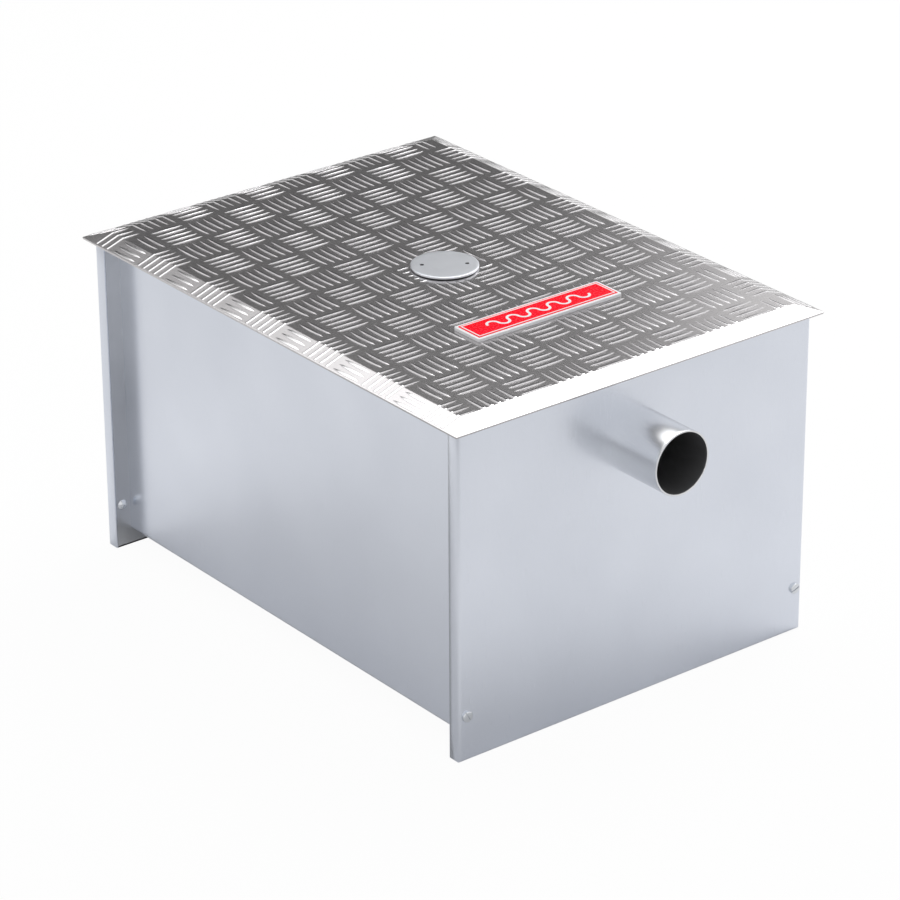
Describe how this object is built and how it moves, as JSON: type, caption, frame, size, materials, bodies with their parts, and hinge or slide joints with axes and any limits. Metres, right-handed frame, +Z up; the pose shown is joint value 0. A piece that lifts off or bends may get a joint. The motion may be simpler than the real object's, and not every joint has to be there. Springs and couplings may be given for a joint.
{
  "type": "grease trap",
  "caption": "Small under-sink grease trap: a folded stainless tank between box-edged end panels, with a tread-plate lid held by a central clamp screw, pipe stubs, baffles and a strainer basket.",
  "frame": {"origin": "bottom centre of the trap: midway between the end panels, on the floor", "axes": "+X to the right seen from the outlet end, +Y from the outlet (front) to the inlet (rear) along the pipes, +Z up"},
  "size_m": [0.365, 0.576, 0.2873],
  "materials": {
    "satin_steel": "satin stainless sheet",
    "inner_steel": "mill stainless sheet",
    "tread_steel": "stainless tread plate",
    "polished_steel": "polished stainless",
    "pipe_steel": "bright drawn stainless tube",
    "seal_rubber": "matt rubber",
    "plate_white": "glossy white",
    "plate_red": "glossy red"
  },
  "bodies": {
    "trap": {"tank_shell": "satin_steel", "front_end_plate": "satin_steel", "rear_end_plate": "satin_steel", "front_cover": "satin_steel", "rear_cover": "satin_steel", "rim_frame": "inner_steel", "lid_gasket": "seal_rubber", "lid_plate": "tread_steel", "lid_stiffener_front": "inner_steel", "lid_stiffener_rear": "inner_steel", "clamp_bridge": "inner_steel", "bridge_nut": "inner_steel", "bridge_bracket_left": "inner_steel", "bridge_bracket_right": "inner_steel", "outlet_pipe": "pipe_steel", "inlet_pipe": "pipe_steel", "outlet_elbow": "pipe_steel", "outlet_dip_tube": "pipe_steel", "inlet_baffle": "inner_steel", "outlet_baffle": "inner_steel", "inlet_guide_left": "inner_steel", "inlet_guide_right": "inner_steel", "outlet_guide_left": "inner_steel", "outlet_guide_right": "inner_steel", "basket_rail_left": "inner_steel", "basket_rail_right": "inner_steel", "strainer_basket": "inner_steel", "cover_screws": "polished_steel", "cover_nuts": "polished_steel", "name_plate": "plate_white", "plate_field": "plate_red", "plate_border": "plate_white", "plate_wave": "plate_white"},
    "washer": {"clamp_washer": "seal_rubber"},
    "clamp_screw": {"clamp_disc": "polished_steel", "clamp_stud": "polished_steel", "clamp_retainer": "inner_steel"},
    "handle": {"basket_handle": "polished_steel"}
  },
  "joints": [
    {"name": "clamp_turn", "type": "hinge", "parent": "washer", "child": "clamp_screw", "pos_m": [0, 0, 0.286], "axis": [0, 0, 1], "range_deg": [0, 2520]},
    {"name": "clamp_rise", "type": "slide", "parent": "trap", "child": "washer", "axis": [0, 0, 1], "range_m": [0, 0.0123]},
    {"name": "handle_swing", "type": "hinge", "parent": "trap", "child": "handle", "pos_m": [0, 0.16225, 0.1869], "axis": [-1, 0, 0], "range_deg": [0, 180]}
  ],
  "couplings": [
    {"joint": "clamp_rise", "follows": "clamp_turn", "m_per_rad": 0.00027852}
  ]
}
